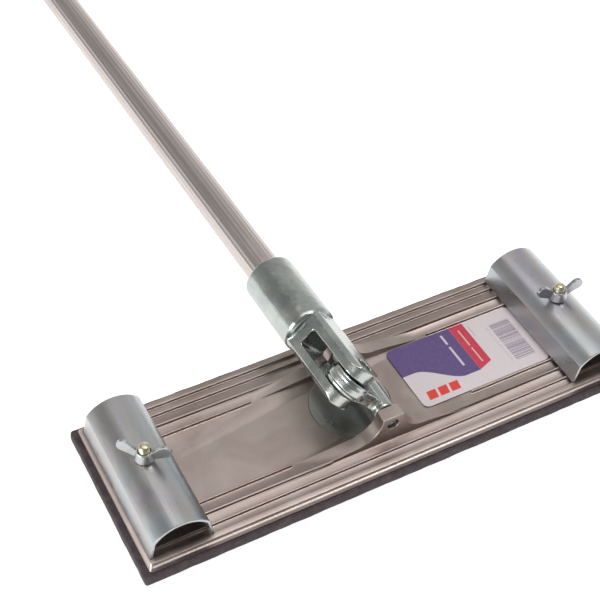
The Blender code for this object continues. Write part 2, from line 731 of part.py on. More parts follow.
def make_pole_tube():
    inner = arc((0, 0), POLE_RADIUS - POLE_WALL, 0, 2 * math.pi, 40)[:-1]
    middle = (POLE_START + POLE_END) / 2
    tube = plate_of("pole_tube", [fluted_outline(), inner], POLE_LENGTH, upright(middle))
    rivet_y = SOCKET_MOUTH - RIVET_FROM_MOUTH
    rivet_bore = RIVET_RADIUS + PIN_CLEARANCE
    hole = rod("tube_hole", (0, rivet_y, 0), (0, rivet_y, -2 * POLE_RADIUS), rivet_bore, 20)
    cut(tube, hole)
    for piece in (tube, hole):
        piece.matrix_world = pole_frame()
    return finish(tube, "pole_aluminium", smooth=False)


def make_socket_rivet():
    """The blind rivet through the underside of the ferrule that keeps the pole in."""
    rivet_y = SOCKET_MOUTH - RIVET_FROM_MOUTH
    shank_end = POLE_RADIUS - POLE_WALL - RIVET_GRIP
    seat = SOCKET_RADIUS + ASSEMBLY_GAP
    angles = [math.pi / 2 * i / 4 for i in range(5)]
    head = [(RIVET_HEAD_RADIUS * math.sin(a), seat + RIVET_HEAD_HEIGHT * math.cos(a)) for a in angles]
    profile = head + [(RIVET_RADIUS, seat), (RIVET_RADIUS, shank_end), (0, shank_end)]
    rivet = turned("socket_rivet", profile, (0, 0, -1), (0, rivet_y, 0), 24)
    rivet.matrix_world = pole_frame()
    return finish(rivet, "pin_steel")


def make_pole_end_cap():
    """A plastic cap: a skirt over the pole's end, a thick round-edged face, and a plug inside the tube."""
    quarter = math.pi / 2
    tip = CAP_TIP
    skirt = POLE_END - CAP_LENGTH + CAP_END
    edge = [
        (
            CAP_RADIUS - CAP_ROUNDING * (1 - math.sin(quarter * i / 4)),
            tip - CAP_ROUNDING * (1 - math.cos(quarter * i / 4)),
        )
        for i in range(5)
    ]
    inner_skirt = POLE_RADIUS + ASSEMBLY_GAP
    inner_face = POLE_END + ASSEMBLY_GAP
    plug = POLE_RADIUS - POLE_WALL - ASSEMBLY_GAP
    plug_end = POLE_END - PLUG_LENGTH
    profile = [(0, tip)] + edge + [(CAP_RADIUS, skirt), (inner_skirt, skirt), (inner_skirt, inner_face)]
    profile += [(plug, inner_face), (plug, plug_end + PLUG_EDGE), (plug - PLUG_EDGE, plug_end), (0, plug_end)]
    cap = turned("pole_end_cap", profile, (0, 1, 0), steps=48)
    cap.matrix_world = pole_frame()
    return finish(cap, "black_plastic")


# ---- joint axes --------------------------------------------------------------------------------------------


def make_axis(name, place, pieces, above=None):
    """An empty on a joint's axis that carries the pieces which turn or slide on it."""
    empty = bpy.data.objects.new(name, None)
    empty.empty_display_size = 0.02
    PARTS.objects.link(empty)
    empty.matrix_world = place
    bpy.context.view_layer.update()
    for piece in pieces:
        world = piece.matrix_world.copy()
        piece.parent = empty
        piece.matrix_parent_inverse = place.inverted()
        piece.matrix_world = world
    if above:
        empty.parent = above
        empty.matrix_parent_inverse = above.matrix_world.inverted()
    return empty


def build():
    make_foam_pad()
    make_base_plate()
    make_base_pin()
    make_label()
    for side, x in (("left", -CLAMP_CENTRE), ("right", CLAMP_CENTRE)):
        make_bolt(side, x)
        clamp = make_clamp(side, x)
        nut = make_wing_nut(side, x)
        lift = make_axis("clamp_lift_" + side, Matrix.Translation((x, 0, CLAMP_FOOT)), [clamp])
        make_axis("nut_axis_" + side, Matrix.Translation((x, 0, NUT_BOTTOM)), [nut], lift)
    swivel_axis = make_axis("swivel_axis", swivel_frame(), [make_swivel_block()])
    pole_pieces = [make_pole_socket(), make_clevis_pin(), make_pole_tube()]
    pole_pieces += [make_socket_rivet(), make_pole_end_cap()]
    make_axis("pole_axis", pole_frame(), pole_pieces, swivel_axis)


build()
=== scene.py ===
"""Pole drywall sander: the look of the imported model, in metres, in the model's own frame."""

import json
import math

import bmesh
import bpy
from mathutils import Matrix, Vector, noise


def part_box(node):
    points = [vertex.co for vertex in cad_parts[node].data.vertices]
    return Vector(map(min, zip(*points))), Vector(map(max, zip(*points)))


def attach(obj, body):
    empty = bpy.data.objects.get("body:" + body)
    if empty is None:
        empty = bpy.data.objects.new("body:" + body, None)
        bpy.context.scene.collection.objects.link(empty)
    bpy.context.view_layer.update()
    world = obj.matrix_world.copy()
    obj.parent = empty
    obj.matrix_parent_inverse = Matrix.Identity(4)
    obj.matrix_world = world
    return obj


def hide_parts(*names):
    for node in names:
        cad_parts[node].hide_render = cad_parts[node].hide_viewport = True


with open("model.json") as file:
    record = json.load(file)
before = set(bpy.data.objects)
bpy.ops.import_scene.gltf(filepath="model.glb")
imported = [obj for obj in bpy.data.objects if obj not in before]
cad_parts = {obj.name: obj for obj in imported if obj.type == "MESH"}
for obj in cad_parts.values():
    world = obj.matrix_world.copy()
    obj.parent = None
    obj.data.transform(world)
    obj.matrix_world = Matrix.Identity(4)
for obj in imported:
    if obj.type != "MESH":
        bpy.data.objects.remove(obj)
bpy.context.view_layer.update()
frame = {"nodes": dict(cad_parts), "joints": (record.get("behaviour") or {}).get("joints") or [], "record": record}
NODES = frame["nodes"]
JOINTS = {joint["name"]: joint for joint in frame["joints"]}
MOUNTS = {mount["name"]: mount for mount in frame["record"]["mounts"]}

MM = 0.001
TURN = 2 * math.pi
SIDES = ("left", "right")

# Threads, flutes and edges
THREAD_PITCH = 0.8 * MM
THREAD_DEPTH = 0.32 * MM
POLE_FLUTES = 24
FLUTE_DEPTH = 0.13 * MM
POLE_WALL = 1.3 * MM
CAP_RIBS = 30
CAP_RIB_DEPTH = 0.22 * MM
PLATE_EDGE = 0.28 * MM
SHEET_EDGE = 0.22 * MM
CASTING_GRID = 0.35 * MM
NUT_GRID = 0.14 * MM
FOAM_STEP = 1.6 * MM
FOAM_EDGE = 0.5 * MM
FOAM_CORNER = 1.2 * MM
DISH_CENTRE = (-6.0 * MM, 0.0)
DISH_RADIUS = 18.25 * MM
HEAD_CLEARANCE = 0.4 * MM
ASSEMBLY_GAP = 0.3 * MM

# Turned pieces
BOLT_RADIUS = 2.45 * MM
BOLT_DOME = 0.9 * MM
BOLT_HEAD_EDGE = 0.35 * MM
THREAD_RINGS = 8
PIN_EDGE = 0.35 * MM
PIN_DIMPLE = 0.45 * MM
TUBE_EDGE = 0.25 * MM
POINTS_PER_FLUTE = 10
RIVET_HEAD = 1.2 * MM
RIVET_SHANK = 2.0 * MM
CAP_SKIRT = 17.0 * MM
CAP_ROUNDING = 2.0 * MM
CAP_RIB_FADE = 1.2 * MM
PLUG_EDGE = 1.0 * MM
CASTING_RIPPLE = 0.10 * MM

# Studio: the table's own light, the tent's grey from the horizon up, and its two darker parts
TABLE_GLOW = 0.75
TENT = (
    (0.0, (1.05, 1.04, 1.03)),
    (0.14, (0.92, 0.91, 0.90)),
    (0.4, (0.66, 0.65, 0.64)),
    (0.72, (0.54, 0.53, 0.525)),
    (1.0, (0.46, 0.455, 0.455)),
)
DARK_SIDE = Vector((-0.62, 0.60, 0.50)).normalized()
DARK_FRONT = Vector((0.0, -1.0, 0.25)).normalized()

# Camera: it looks at this point of the plate
CAMERA_TARGET = Vector((0.00369, 0.06485, 0.0073))
CAMERA_DISTANCE = 0.6068
CAMERA_AZIMUTH = math.radians(-29.81)
CAMERA_ELEVATION = math.radians(45.92)
CAMERA_ROLL = math.radians(2.60)
CAMERA_LENS = 77.32
CAMERA_SENSOR = 36.0


# ---- places --------------------------------------------------------------------------------------


def pole_frame():
    """Origin on the clevis pin, Y along the pole, X across the ears."""
    joint = JOINTS["pole_pitch"]
    along = Vector(MOUNTS["pole_end_face"]["axis"]).normalized()
    across = Vector(joint["axis"])
    across = (across - along * across.dot(along)).normalized()
    upward = across.cross(along)
    turn = Matrix((across, along, upward)).transposed().to_4x4()
    return Matrix.Translation(Vector(joint["pos_m"])) @ turn


def along_pole(node):
    """The lowest and highest place of a node along the pole, from the clevis pin."""
    inverse = POLE.inverted()
    places = [(inverse @ vertex.co).y for vertex in NODES[node].data.vertices]
    return min(places), max(places)


def radius_about_pole(node):
    inverse = POLE.inverted()
    local = [inverse @ vertex.co for vertex in NODES[node].data.vertices]
    return max(math.hypot(point.x, point.z) for point in local)


def upright_pole_frame():
    """The same origin and Y as the pole's frame, with X level."""
    along = POLE.col[1].to_3d()
    across = along.cross(Vector((0, 0, 1))).normalized()
    turn = Matrix((across, along, across.cross(along))).transposed().to_4x4()
    return Matrix.Translation(POLE.translation) @ turn


POLE = pole_frame()
POLE_LEVEL = upright_pole_frame()


# ---- materials -----------------------------------------------------------------------------------


class Finish:
    """One material's node tree, written as calls that return sockets."""

    def __init__(self, name, roughness, metallic=0.0):
        self.material = bpy.data.materials.new(name)
        self.material.use_nodes = True
        self.tree = self.material.node_tree
        self.shader = self.tree.nodes["Principled BSDF"]
        self.shader.inputs["Metallic"].default_value = metallic
        self.shader.inputs["Roughness"].default_value = roughness
        self.place = self.node("ShaderNodeTexCoord").outputs["Object"]

    def feed(self, socket, value):
        if isinstance(value, bpy.types.NodeSocket):
            self.tree.links.new(value, socket)
        else:
            socket.default_value = value

    def node(self, kind, inputs=(), **settings):
        node = self.tree.nodes.new(kind)
        for key, value in settings.items():
            setattr(node, key, value)
        for key, value in dict(inputs).items():
            self.feed(node.inputs[key], value)
        return node

    def stretched(self, scale, turn=(0, 0, 0)):
        inputs = {"Vector": self.place, "Scale": scale, "Rotation": turn}
        return self.node("ShaderNodeMapping", inputs).outputs["Vector"]

    def noise(self, scale, detail=3.0, roughness=0.55, place=None, distortion=0.0):
        inputs = {"Vector": place or self.place, "Scale": scale, "Detail": detail}
        inputs.update({"Roughness": roughness, "Distortion": distortion})
        return self.node("ShaderNodeTexNoise", inputs).outputs["Fac"]

    def cells(self, scale):
        inputs = {"Vector": self.place, "Scale": scale}
        return self.node("ShaderNodeTexVoronoi", inputs, feature="F1").outputs["Distance"]

    def math(self, operation, first, second=0.0, clamp=False):
        node = self.node("ShaderNodeMath", operation=operation, use_clamp=clamp)
        self.feed(node.inputs[0], first)
        self.feed(node.inputs[1], second)
        return node.outputs[0]

    def span(self, value, low, high, to_low=0.0, to_high=1.0):
        """Value from low..high to to_low..to_high, held at both ends."""
        inputs = {"Value": value, "From Min": low, "From Max": high, "To Min": to_low, "To Max": to_high}
        return self.node("ShaderNodeMapRange", inputs, clamp=True).outputs["Result"]

    def ramp(self, value, stops):
        node = self.node("ShaderNodeValToRGB", {"Fac": value})
        elements = node.color_ramp.elements
        while len(elements) < len(stops):
            elements.new(0.5)
        for element, (position, colour) in zip(elements, stops):
            element.position = position
            element.color = (*colour, 1.0)
        return node.outputs["Color"]

    def mix(self, factor, first, second, blend="MIX"):
        node = self.node("ShaderNodeMix", data_type="RGBA", blend_type=blend)
        self.feed(node.inputs["Factor"], factor)
        for key, value in (("A", first), ("B", second)):
            socket = [s for s in node.inputs if s.name == key and s.type == "RGBA"][0]
            self.feed(socket, value if isinstance(value, bpy.types.NodeSocket) else (*value, 1.0))
        return [s for s in node.outputs if s.type == "RGBA"][0]

    def disc(self, centre, radius, soft):
        """1 inside a circle in the object's XY plane."""
        parts = self.node("ShaderNodeSeparateXYZ", {"Vector": self.place}).outputs
        x = self.math("SUBTRACT", parts["X"], centre[0])
        y = self.math("SUBTRACT", parts["Y"], centre[1])
        square = self.math("ADD", self.math("MULTIPLY", x, x), self.math("MULTIPLY", y, y))
        return self.span(self.math("SQRT", square), radius - soft, radius + soft, 1.0, 0.0)

    def bump(self, height, distance, strength=1.0, under=None):
        inputs = {"Height": height, "Distance": distance, "Strength": strength}
        if under:
            inputs["Normal"] = under
        return self.node("ShaderNodeBump", inputs).outputs["Normal"]

    def set(self, **sockets):
        names = {"colour": "Base Color", "roughness": "Roughness", "normal": "Normal"}
        for key, value in sockets.items():
            self.feed(self.shader.inputs[names[key]], value)
        return self.material


def cast_aluminium():
    """Warm grey cast plate: fine grain, clouded stains and light scratches along it."""
    m = Finish("cast_aluminium_look", 0.4, 1.0)
    clouds = m.noise(38.0, 5.0, 0.6, distortion=0.8)
    grain = m.noise(1500.0, 2.0)
    scratch = m.noise(60.0, 4.0, 0.6, m.stretched((0.25, 9.0, 9.0), (0, 0, 0.2)))
    stains = m.span(m.noise(110.0, 6.0, 0.7), 0.56, 0.72, 0.0, 0.55)
    greys = [(0.3, (0.37, 0.30, 0.27)), (0.52, (0.42, 0.35, 0.32)), (0.75, (0.475, 0.41, 0.38))]
    base = m.ramp(clouds, greys)
    base = m.mix(stains, base, (0.36, 0.33, 0.31))
    base = m.mix(m.span(grain, 0.62, 0.8, 0.0, 0.35), base, (0.68, 0.64, 0.62))
    # Dish: machined rings and a smoother finish, plus a painted reflection: its grey-green tint stands in for the
    # swivel mirrored in it.
    dish = m.disc(DISH_CENTRE, DISH_RADIUS, 0.6 * MM)
    rings = m.noise(700.0, 2.0, 0.5, m.stretched((1.0, 0.06, 1.0)))
    machined_and_painted_reflection = m.ramp(rings, [(0.3, (0.45, 0.46, 0.45)), (0.7, (0.53, 0.54, 0.53))])
    base = m.mix(m.math("MULTIPLY", dish, 0.85), base, machined_and_painted_reflection)
    rough = m.span(clouds, 0.3, 0.7, 0.29, 0.40)
    roughness = m.math("SUBTRACT", rough, m.math("MULTIPLY", dish, 0.05))
    normal = m.bump(grain, 0.000035, 0.7)
    normal = m.bump(scratch, 0.00005, 0.35, normal)
    return m.set(colour=base, roughness=roughness, normal=normal)


def zinc_sheet():
    """Bright zinc on bent sheet: bluish with faint yellow and pink tints, and a long soft ripple."""
    m = Finish("zinc_sheet_look", 0.28, 1.0)
    tint = m.noise(45.0, 3.0, 0.5, m.stretched((1.0, 0.45, 1.0)), 1.2)
    base = m.ramp(
        tint,
        [
            (0.30, (0.42, 0.47, 0.51)),
            (0.45, (0.46, 0.48, 0.49)),
            (0.56, (0.48, 0.47, 0.455)),
            (0.66, (0.46, 0.45, 0.49)),
            (0.78, (0.43, 0.475, 0.49)),
        ],
    )
    grain = m.noise(2600.0, 2.0)
    wear = m.noise(300.0, 5.0, 0.65, m.stretched((1.0, 0.3, 1.0)))
    base = m.mix(m.span(wear, 0.58, 0.75, 0.0, 0.35), base, (0.44, 0.45, 0.44))
    roughness = m.span(wear, 0.35, 0.7, 0.27, 0.38)
    ripple = m.noise(70.0, 2.0, 0.5, m.stretched((1.0, 0.35, 1.0)))
    normal = m.bump(ripple, 0.0003, 0.10)
    normal = m.bump(grain, 0.00001, 0.4, normal)
    return m.set(colour=base, roughness=roughness, normal=normal)


def zinc_casting():
    """Zinc plate over a rougher casting: grey-green, with a pebbled skin."""
    m = Finish("zinc_casting_look", 0.22, 1.0)
    tint = m.noise(90.0, 4.0, 0.6)
    base = m.ramp(tint, [(0.3, (0.36, 0.40, 0.39)), (0.5, (0.44, 0.475, 0.455)), (0.72, (0.50, 0.51, 0.465))])
    pebble = m.noise(420.0, 3.0, 0.5)
    grain = m.noise(1900.0, 2.0)
    base = m.mix(m.span(pebble, 0.56, 0.74, 0.0, 0.45), base, (0.30, 0.33, 0.33))
    roughness = m.span(tint, 0.35, 0.7, 0.17, 0.29)
    normal = m.bump(pebble, 0.00022, 0.35)
    normal = m.bump(grain, 0.00003, 0.4, normal)
    return m.set(colour=base, roughness=roughness, normal=normal)


def pin_steel():
    """Plain steel pins, turned ends and a little dark oil."""
    m = Finish("pin_steel_look", 0.34, 1.0)
    oil = m.noise(500.0, 4.0, 0.6)
    base = m.ramp(oil, [(0.35, (0.20, 0.20, 0.205)), (0.65, (0.40, 0.40, 0.395))])
    normal = m.bump(m.noise(3000.0, 2.0), 0.00002, 0.5)
    return m.set(colour=base, roughness=m.span(oil, 0.3, 0.7, 0.28, 0.5), normal=normal)


def passivated_steel():
    """Yellow passivated bolts, greener and darker in patches."""
    m = Finish("passivated_steel_look", 0.3, 1.0)
    patch = m.noise(420.0, 4.0, 0.6)
    base = m.ramp(patch, [(0.3, (0.44, 0.41, 0.31)), (0.5, (0.58, 0.53, 0.39)), (0.7, (0.66, 0.63, 0.54))])
    normal = m.bump(m.noise(2400.0, 2.0), 0.00002, 0.6)
    return m.set(colour=base, roughness=m.span(patch, 0.3, 0.7, 0.26, 0.42), normal=normal)


def pole_aluminium():
    """Extruded tube: fine die lines along the pole's own Y, and faint handling marks."""
    m = Finish("pole_aluminium_look", 0.3, 1.0)
    lines = m.noise(2200.0, 3.0, 0.6, m.stretched((1.0, 0.004, 1.0)))
    marks = m.noise(70.0, 5.0, 0.65, m.stretched((1.0, 0.3, 1.0)))
    base = m.ramp(lines, [(0.35, (0.47, 0.41, 0.39)), (0.6, (0.60, 0.545, 0.52))])
    base = m.mix(m.span(marks, 0.58, 0.75, 0.0, 0.4), base, (0.42, 0.385, 0.37))
    normal = m.bump(lines, 0.00004, 0.5)
    return m.set(colour=base, roughness=m.span(marks, 0.3, 0.7, 0.26, 0.40), normal=normal)


def foam():
    """Dark closed-cell foam: small open pores at its cut sides and face, with painted shade darkening the pores.
    """
    m = Finish("foam_look", 0.92)
    pores_and_painted_pore_shade = m.cells(1500.0)
    clouds = m.noise(260.0, 4.0, 0.6)
    darks = [(0.3, (0.048, 0.034, 0.038)), (0.55, (0.070, 0.052, 0.056)), (0.8, (0.105, 0.085, 0.088))]
    base = m.ramp(clouds, darks)
    # The pores' near-black colour is painted shade in their hollows.
    base = m.mix(m.span(pores_and_painted_pore_shade, 0.0, 0.35, 0.65, 0.0), base, (0.018, 0.013, 0.016))
    normal = m.bump(m.span(pores_and_painted_pore_shade, 0.0, 0.5), 0.00018, 0.8)
    normal = m.bump(clouds, 0.0003, 0.35, normal)
    return m.set(colour=base, normal=normal)


def black_plastic():
    """Moulded plastic with a fine matte texture."""
    m = Finish("black_plastic_look", 0.5)
    fleck = m.noise(1800.0, 3.0)
    base = m.ramp(fleck, [(0.35, (0.016, 0.016, 0.018)), (0.7, (0.036, 0.036, 0.040))])
    normal = m.bump(fleck, 0.00004, 0.6)
    return m.set(colour=base, roughness=m.span(fleck, 0.3, 0.7, 0.42, 0.6), normal=normal)


def studio_floor():
    """A pale back-lit table."""
    m = Finish("studio_floor_look", 0.85)
    paper = m.ramp(m.noise(14.0, 4.0), [(0.3, (0.86, 0.86, 0.86)), (0.7, (0.88, 0.88, 0.88))])
    m.feed(m.shader.inputs["Emission Color"], paper)
    m.shader.inputs["Emission Strength"].default_value = TABLE_GLOW
    return m.set(colour=paper)


class LabelPrint:
    """Masks on the label, in millimetres from its left end and its middle line."""

    def __init__(self, finish, low, high):
        self.m = finish
        parts = finish.node("ShaderNodeSeparateXYZ", {"Vector": finish.place}).outputs
        self.x = self.shifted(parts["X"], low.x)
        self.y = self.shifted(parts["Y"], (low.y + high.y) / 2)

    def shifted(self, value, start):
        return self.m.math("MULTIPLY", self.m.math("SUBTRACT", value, start), 1000.0)

    def above(self, value, limit, soft=0.12):
        """1 where value is over limit, with a narrow edge."""
        if not isinstance(limit, bpy.types.NodeSocket):
            return self.m.span(value, limit - soft, limit + soft)
        return self.m.span(self.m.math("SUBTRACT", value, limit), -soft, soft)

    def both(self, *masks):
        result = masks[0]
        for mask in masks[1:]:
            result = self.m.math("MULTIPLY", result, mask)
        return result

    def neither(self, mask):
        return self.m.math("SUBTRACT", 1.0, mask)

    def block(self, x_low, x_high, y_low, y_high, slant=0.0):
        """A bar with plain edges; slant leans its ends, in mm of X for each mm of Y."""
        x = self.m.math("SUBTRACT", self.x, self.m.math("MULTIPLY", self.y, slant)) if slant else self.x
        across = self.both(self.above(x, x_low), self.neither(self.above(x, x_high)))
        return self.both(across, self.above(self.y, y_low), self.neither(self.above(self.y, y_high)))

    def any_of(self, masks):
        result = masks[0]
        for mask in masks[1:]:
            result = self.m.math("MAXIMUM", result, mask)
        return result

    def wave_edge(self):
        """The purple field's lower edge: level, a long slope down, and level again."""
        slope = self.m.node(
            "ShaderNodeMapRange",
            {"Value": self.x, "From Min": 6.0, "From Max": 27.0, "To Min": 1.5, "To Max": -9.9},
            interpolation_type="SMOOTHSTEP",
        ).outputs["Result"]
        return slope

    def barcode(self, x_low, x_high, y_low, y_high):
        """Plain bars of uneven width that stand for a printed code."""
        step = self.m.math("MULTIPLY", self.y, 1.55)
        bar = self.m.math("FLOOR", step)
        cell = self.m.node("ShaderNodeTexWhiteNoise", {"W": bar}, noise_dimensions="1D")
        width = self.m.span(cell.outputs["Value"], 0.0, 1.0, 0.25, 0.8)
        inside = self.m.math("LESS_THAN", self.m.math("FRACT", step), width)
        return self.both(inside, self.block(x_low, x_high, y_low, y_high))


def label_paper():
    """A printed label with generic blocks in place of every word."""
    m = Finish("label_paper_look", 0.42)
    p = LabelPrint(m, *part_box("label_sticker"))
    paper = m.ramp(m.noise(900.0, 3.0), [(0.3, (0.745, 0.665, 0.685)), (0.7, (0.80, 0.725, 0.745))])
    field = p.both(p.above(p.y, p.wave_edge()), p.neither(p.above(p.x, 34.2)))
    fold = m.math("ADD", -9.8, m.math("MULTIPLY", m.math("SUBTRACT", p.x, 34.2), 0.36))
    band = p.both(p.above(p.y, fold), p.above(p.x, 34.2), p.neither(p.above(p.x, 41.6)))
    ink = m.noise(700.0, 3.0)
    purple = m.ramp(ink, [(0.3, (0.112, 0.066, 0.215)), (0.7, (0.140, 0.088, 0.262))])
    red = m.ramp(ink, [(0.3, (0.60, 0.030, 0.075)), (0.7, (0.70, 0.050, 0.095))])
    badge = p.any_of([p.block(low, low + 4.6, -15.0, -10.2, 0.16) for low in (6.6, 12.4, 18.2)])
    words = [p.block(28.2, 29.3, 9.6, 15.6), p.block(28.2, 29.3, -4.4, 7.9)]
    strips = [p.block(37.4, 38.1, 4.6, 14.8), p.block(37.4, 38.1, -6.0, 3.2), p.block(43.0, 43.5, 8.0, 15.2)]
    figures = m.math("LESS_THAN", m.math("FRACT", m.math("MULTIPLY", p.y, 0.62)), 0.6)
    figures = p.both(figures, p.block(49.9, 50.8, -12.0, 10.6))
    colour = m.mix(field, paper, purple)
    colour = m.mix(band, colour, red)
    colour = m.mix(badge, colour, (0.80, 0.055, 0.035))
    colour = m.mix(p.any_of(words), colour, (0.72, 0.64, 0.72))
    colour = m.mix(p.any_of(strips[:2]), colour, (0.80, 0.55, 0.50))
    colour = m.mix(m.math("MULTIPLY", strips[2], 0.5), colour, (0.32, 0.27, 0.38))
    colour = m.mix(m.math("MULTIPLY", figures, 0.35), colour, (0.40, 0.34, 0.46))
    colour = m.mix(m.math("MULTIPLY", p.barcode(52.2, 62.6, -12.4, 11.2), 0.88), colour, (0.20, 0.15, 0.25))
    creases = m.noise(55.0, 3.0, 0.5)
    normal = m.bump(creases, 0.0003, 0.22)
    normal = m.bump(m.noise(2500.0, 2.0), 0.00001, 0.5, normal)
    return m.set(colour=colour, normal=normal)


# ---- mesh helpers --------------------------------------------------------------------------------


def new_piece(name, data, material, body, node=None, place=None, sharp=38.0):
    """A smooth shaded piece that rides on a body and stands for a CAD node."""
    mesh = bpy.data.meshes.new(name)
    bmesh.ops.recalc_face_normals(data, faces=data.faces)
    if data.calc_volume(signed=True) < 0:
        bmesh.ops.reverse_faces(data, faces=data.faces)
    data.to_mesh(mesh)
    data.free()
    piece = bpy.data.objects.new(name, mesh)
    bpy.context.scene.collection.objects.link(piece)
    if place:
        piece.matrix_world = place
    mesh.materials.append(material)
    mesh.shade_smooth()
    mesh.set_sharp_from_angle(angle=math.radians(sharp))
    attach(piece, body)
    if node:
        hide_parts(node)
    return piece


def cad_copy(node):
    """The CAD node's shape with its triangles joined into whole faces."""
    data = bmesh.new()
    data.from_mesh(NODES[node].data)
    bmesh.ops.remove_doubles(data, verts=data.verts, dist=0.00001)
    bmesh.ops.dissolve_limit(data, angle_limit=math.radians(0.6), verts=data.verts, edges=data.edges)
    return data


def add_bevel(piece, width, angle, segments=3):
    bevel = piece.modifiers.new("edges", "BEVEL")
    bevel.width = width
    bevel.segments = segments
    bevel.limit_method = "ANGLE"
    bevel.angle_limit = math.radians(angle)
    bevel.use_clamp_overlap = False
    bevel.harden_normals = False
    return bevel


def add_cast_skin(piece, grid, rounds, ripple=0.0, ripple_size=0.003):
    """Turns a sharp shape into a casting: even small faces, soft edges and a slightly uneven skin."""
    remesh = piece.modifiers.new("grid", "REMESH")
    remesh.mode = "VOXEL"
    remesh.voxel_size = grid
    remesh.use_smooth_shade = True
    smooth = piece.modifiers.new("soft", "SMOOTH")
    smooth.factor = 0.5
    smooth.iterations = rounds
    if ripple:
        texture = bpy.data.textures.new(piece.name + "_ripple", "CLOUDS")
        texture.noise_scale = ripple_size
        displace = piece.modifiers.new("skin", "DISPLACE")
        displace.texture = texture
        displace.strength = ripple
        displace.mid_level = 0.5


def arc(centre, radius, start, end, steps):
    angles = [start + (end - start) * i / steps for i in range(steps + 1)]
    return [(centre[0] + radius * math.cos(a), centre[1] + radius * math.sin(a)) for a in angles]


def lathe(profile, segments, radius_at=None):
    """A closed solid of revolution about Z. profile lists (radius, height), both ends at radius 0.

    radius_at(radius, height, angle) can change each point's radius, for threads, ribs or flutes.
    """
    data = bmesh.new()
    rings = []
    for radius, height in profile:
        if radius == 0:
            rings.append([data.verts.new((0, 0, height))])
            continue
        ring = []
        for i in range(segments):
            angle = TURN * i / segments
            reach = radius_at(radius, height, angle) if radius_at else radius
            ring.append(data.verts.new((reach * math.cos(angle), reach * math.sin(angle), height)))
        rings.append(ring)
    for first, second in zip(rings, rings[1:]):
        for i in range(segments):
            a, b = first[i % len(first)], first[(i + 1) % len(first)]
            c, d = second[(i + 1) % len(second)], second[i % len(second)]
            corners = [a, b, c, d]
            face = [v for k, v in enumerate(corners) if v not in corners[:k]]
            data.faces.new(face)
    return data


def between(last, start, step):
    """Evenly spaced points on the line from last to start, without its ends."""
    count = max(1, round(math.dist(last, start) / step))
    run_x, run_y = start[0] - last[0], start[1] - last[1]
    return [(last[0] + run_x * i / count, last[1] + run_y * i / count) for i in range(1, count)]


def rounded_outline(half, radius, step):
    """Points round a rectangle with round corners, about step apart."""
    points = []
    quarter = math.pi / 2
    for turn, (sx, sy) in enumerate(((1, 1), (-1, 1), (-1, -1), (1, -1))):
        centre = (sx * (half[0] - radius), sy * (half[1] - radius))
        corner = arc(centre, radius, turn * quarter, (turn + 1) * quarter, 6)
        start = corner[0]
        if points:
            points += between(points[-1], start, step)
        points += corner
    return points + between(points[-1], points[0], step)


# ---- pieces --------------------------------------------------------------------------------------


def make_foam_pad(material):
    """The foam slab: cut sides that waver and bulge a little, soft edges, and room for the bolt heads."""
    low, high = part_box("foam_pad")
    half = ((high.x - low.x) / 2, (high.y - low.y) / 2)
    thick = high.z - low.z
    outline = rounded_outline(half, FOAM_CORNER, FOAM_STEP)
    levels = [(FOAM_EDGE, 0.0), (0.15 * MM, 0.18 * MM), (0.0, FOAM_EDGE)]
    levels += [(0.0, thick * k / 6) for k in (2, 3, 4)]
    levels += [(0.0, thick - FOAM_EDGE), (0.15 * MM, thick - 0.18 * MM), (FOAM_EDGE, thick)]
    data = bmesh.new()
    rings = []
    for inset, height in levels:
        ring = []
        for x, y in outline:
            place = Vector((x, y, height))
            waver = 0.22 * MM * noise.noise(place * 140.0) + 0.10 * MM * noise.noise(place * 520.0)
            belly = 0.18 * MM * math.sin(math.pi * height / thick)
            reach = inset + max(0.0, 0.25 * MM - waver - belly)
            shrink_x, shrink_y = 1 - reach / half[0], 1 - reach / half[1]
            ring.append(data.verts.new((x * shrink_x, y * shrink_y, low.z + height)))
        rings.append(ring)
    for first, second in zip(rings, rings[1:]):
        for i in range(len(first)):
            data.faces.new((first[i - 1], first[i], second[i], second[i - 1]))
    data.faces.new(rings[0])
    data.faces.new(rings[-1])
    pad = new_piece("foam_pad_soft", data, material, "head", "foam_pad")
    for side in SIDES:
        bolt_low, bolt_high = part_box("clamp_bolt_" + side)
        centre = (bolt_low + bolt_high) / 2
        radius = (bolt_high.x - bolt_low.x) / 2 + HEAD_CLEARANCE
        pocket = bmesh.new()
        bottom = bolt_low.z - HEAD_CLEARANCE
        place = Matrix.Translation((centre.x, centre.y, bottom + thick / 2))
        round_size = {"segments": 32, "radius1": radius, "radius2": radius, "depth": thick}
        bmesh.ops.create_cone(pocket, cap_ends=True, matrix=place, **round_size)
        mesh = bpy.data.meshes.new("pad_pocket_" + side)
        pocket.to_mesh(mesh)
        pocket.free()
        cutter = bpy.data.objects.new("pad_pocket_" + side, mesh)
        bpy.context.scene.collection.objects.link(cutter)
        cut = pad.modifiers.new("pocket_" + side, "BOOLEAN")
        cut.operation = "DIFFERENCE"
        cut.object = cutter
        bpy.context.view_layer.update()
        settle(pad)
        bpy.data.objects.remove(cutter, do_unlink=True)


def settle(piece):
    """Applies a piece's modifiers to its mesh."""
    evaluated = piece.evaluated_get(bpy.context.evaluated_depsgraph_get())
    mesh = bpy.data.meshes.new_from_object(evaluated)
    old = piece.data
    piece.modifiers.clear()
    piece.data = mesh
    mesh.name = old.name
    bpy.data.meshes.remove(old)


def make_base_plate(material):
    plate = new_piece("base_plate_cast", cad_copy("base_plate"), material, "head", "base_plate")
    add_bevel(plate, PLATE_EDGE, 25.0)


def make_clamps(material):
    for side in SIDES:
        body = "clamp_" + side
        clamp = new_piece(body + "_bent_sheet", cad_copy(body), material, body, body, sharp=10.0)
        add_bevel(clamp, SHEET_EDGE, 60.0, 2)


